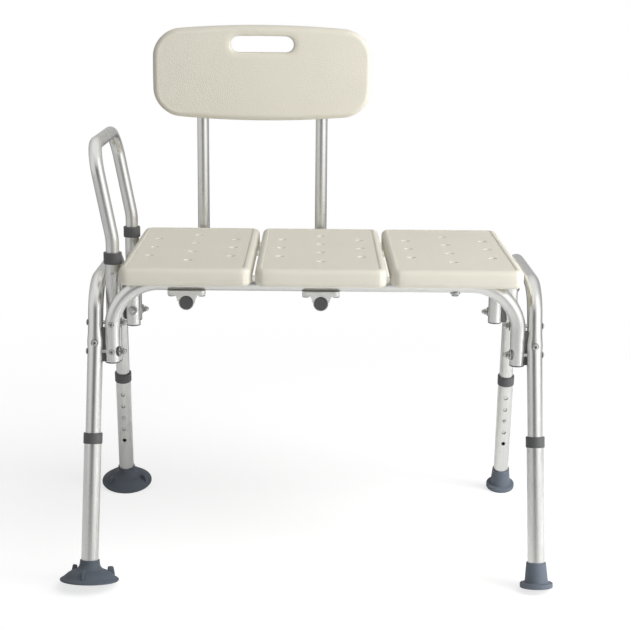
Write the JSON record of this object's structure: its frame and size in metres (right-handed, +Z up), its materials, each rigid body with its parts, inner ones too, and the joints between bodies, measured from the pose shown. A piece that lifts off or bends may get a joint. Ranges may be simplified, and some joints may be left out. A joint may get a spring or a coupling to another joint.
{
  "type": "transfer bench",
  "caption": "Bath transfer bench: a moulded seat in panels on splayed telescoping tube legs, with suction feet outside the grip end, rubber tips at the other, a back rest and a side handle.",
  "frame": {"origin": "on the floor, below the middle of the whole bench", "axes": "+X to the viewer's right along the seat's length, +Y from the seat's front to its back rest, +Z up"},
  "size_m": [0.8219, 0.5862, 0.9075],
  "materials": {
    "ivory_plastic": "fine pebble texture",
    "aluminium_tube": "satin anodised",
    "dark_plastic": "matte",
    "fastener_steel": "zinc plated",
    "grey_rubber": "matte"
  },
  "bodies": {
    "frame": {"seat_panel_left": "ivory_plastic", "seat_panel_centre": "ivory_plastic", "seat_panel_right": "ivory_plastic", "front_rail": "aluminium_tube", "rear_rail": "aluminium_tube", "end_frame_left": "aluminium_tube", "end_frame_right": "aluminium_tube", "handle_socket_front": "aluminium_tube", "handle_socket_rear": "aluminium_tube", "back_receiver_left": "aluminium_tube", "back_receiver_right": "aluminium_tube", "back_brackets_left": "aluminium_tube", "back_brackets_right": "aluminium_tube", "rail_end_plugs": "dark_plastic", "rail_spacers": "dark_plastic", "frame_bolts": "fastener_steel", "cup_washers": "fastener_steel", "dome_nuts": "fastener_steel", "leg_cross_screws": "fastener_steel", "leg_cross_nuts": "fastener_steel", "leg_clip_springs": "fastener_steel", "socket_plugs": "dark_plastic", "socket_collars": "dark_plastic", "socket_screws": "fastener_steel", "socket_nuts": "fastener_steel", "receiver_plugs": "dark_plastic", "seat_bolts": "fastener_steel"},
    "handle": {"grab_handle": "aluminium_tube", "handle_clip_springs": "fastener_steel"},
    "backrest": {"back_panel": "ivory_plastic", "back_tube_left": "aluminium_tube", "back_tube_right": "aluminium_tube", "back_tube_plugs": "dark_plastic", "back_clip_springs": "fastener_steel", "back_panel_screws": "fastener_steel"},
    "leg_front_left": {"lower_leg_front_left": "aluminium_tube", "leg_collar_front_left": "dark_plastic", "suction_foot_front": "grey_rubber"},
    "leg_button_front_left": {"leg_button_front_left": "fastener_steel"},
    "leg_front_right": {"lower_leg_front_right": "aluminium_tube", "leg_collar_front_right": "dark_plastic", "rubber_tip_front": "grey_rubber"},
    "leg_button_front_right": {"leg_button_front_right": "fastener_steel"},
    "leg_rear_left": {"lower_leg_rear_left": "aluminium_tube", "leg_collar_rear_left": "dark_plastic", "suction_foot_rear": "grey_rubber"},
    "leg_button_rear_left": {"leg_button_rear_left": "fastener_steel"},
    "leg_rear_right": {"lower_leg_rear_right": "aluminium_tube", "leg_collar_rear_right": "dark_plastic", "rubber_tip_rear": "grey_rubber"},
    "leg_button_rear_right": {"leg_button_rear_right": "fastener_steel"},
    "handle_button_front": {"handle_button_front": "fastener_steel"},
    "handle_button_rear": {"handle_button_rear": "fastener_steel"},
    "back_button_left": {"back_button_left": "fastener_steel"},
    "back_button_right": {"back_button_right": "fastener_steel"}
  },
  "joints": [
    {"name": "leg_height_front_left", "type": "slide", "parent": "frame", "child": "leg_front_left", "axis": [-0.017, -0.2249, -0.9742], "range_m": [-0.0508, 0.0508], "deforming": ["leg_button_front_left"]},
    {"name": "leg_height_front_right", "type": "slide", "parent": "frame", "child": "leg_front_right", "axis": [0.017, -0.2249, -0.9742], "range_m": [-0.0508, 0.0508], "deforming": ["leg_button_front_right"]},
    {"name": "leg_height_rear_left", "type": "slide", "parent": "frame", "child": "leg_rear_left", "axis": [-0.017, 0.2249, -0.9742], "range_m": [-0.0508, 0.0508], "deforming": ["leg_button_rear_left"]},
    {"name": "leg_height_rear_right", "type": "slide", "parent": "frame", "child": "leg_rear_right", "axis": [0.017, 0.2249, -0.9742], "range_m": [-0.0508, 0.0508], "deforming": ["leg_button_rear_right"]},
    {"name": "handle_lift", "type": "slide", "parent": "frame", "child": "handle", "axis": [0, 0, 1], "range_m": [0, 0.11], "deforming": ["handle_button_front", "handle_button_rear"]},
    {"name": "backrest_pull", "type": "slide", "parent": "frame", "child": "backrest", "axis": [0, 1, 0], "range_m": [0, 0.22], "deforming": ["back_button_left", "back_button_right"]},
    {"name": "leg_button_press_front_left", "type": "slide", "parent": "frame", "child": "leg_button_front_left", "axis": [0.0039, -0.9744, 0.2249], "range_m": [0, 0.005], "stiffness_N_per_m": 800},
    {"name": "leg_button_press_front_right", "type": "slide", "parent": "frame", "child": "leg_button_front_right", "axis": [-0.0039, -0.9744, 0.2249], "range_m": [0, 0.005], "stiffness_N_per_m": 800},
    {"name": "leg_button_press_rear_left", "type": "slide", "parent": "frame", "child": "leg_button_rear_left", "axis": [0.0039, 0.9744, 0.2249], "range_m": [0, 0.005], "stiffness_N_per_m": 800},
    {"name": "leg_button_press_rear_right", "type": "slide", "parent": "frame", "child": "leg_button_rear_right", "axis": [-0.0039, 0.9744, 0.2249], "range_m": [0, 0.005], "stiffness_N_per_m": 800},
    {"name": "handle_button_press_front", "type": "slide", "parent": "handle", "child": "handle_button_front", "axis": [0, 1, 0], "range_m": [0, 0.005], "stiffness_N_per_m": 800},
    {"name": "handle_button_press_rear", "type": "slide", "parent": "handle", "child": "handle_button_rear", "axis": [0, -1, 0], "range_m": [0, 0.005], "stiffness_N_per_m": 800},
    {"name": "back_button_press_left", "type": "slide", "parent": "backrest", "child": "back_button_left", "axis": [0, 0, 1], "range_m": [0, 0.005], "stiffness_N_per_m": 800},
    {"name": "back_button_press_right", "type": "slide", "parent": "backrest", "child": "back_button_right", "axis": [0, 0, 1], "range_m": [0, 0.005], "stiffness_N_per_m": 800}
  ]
}
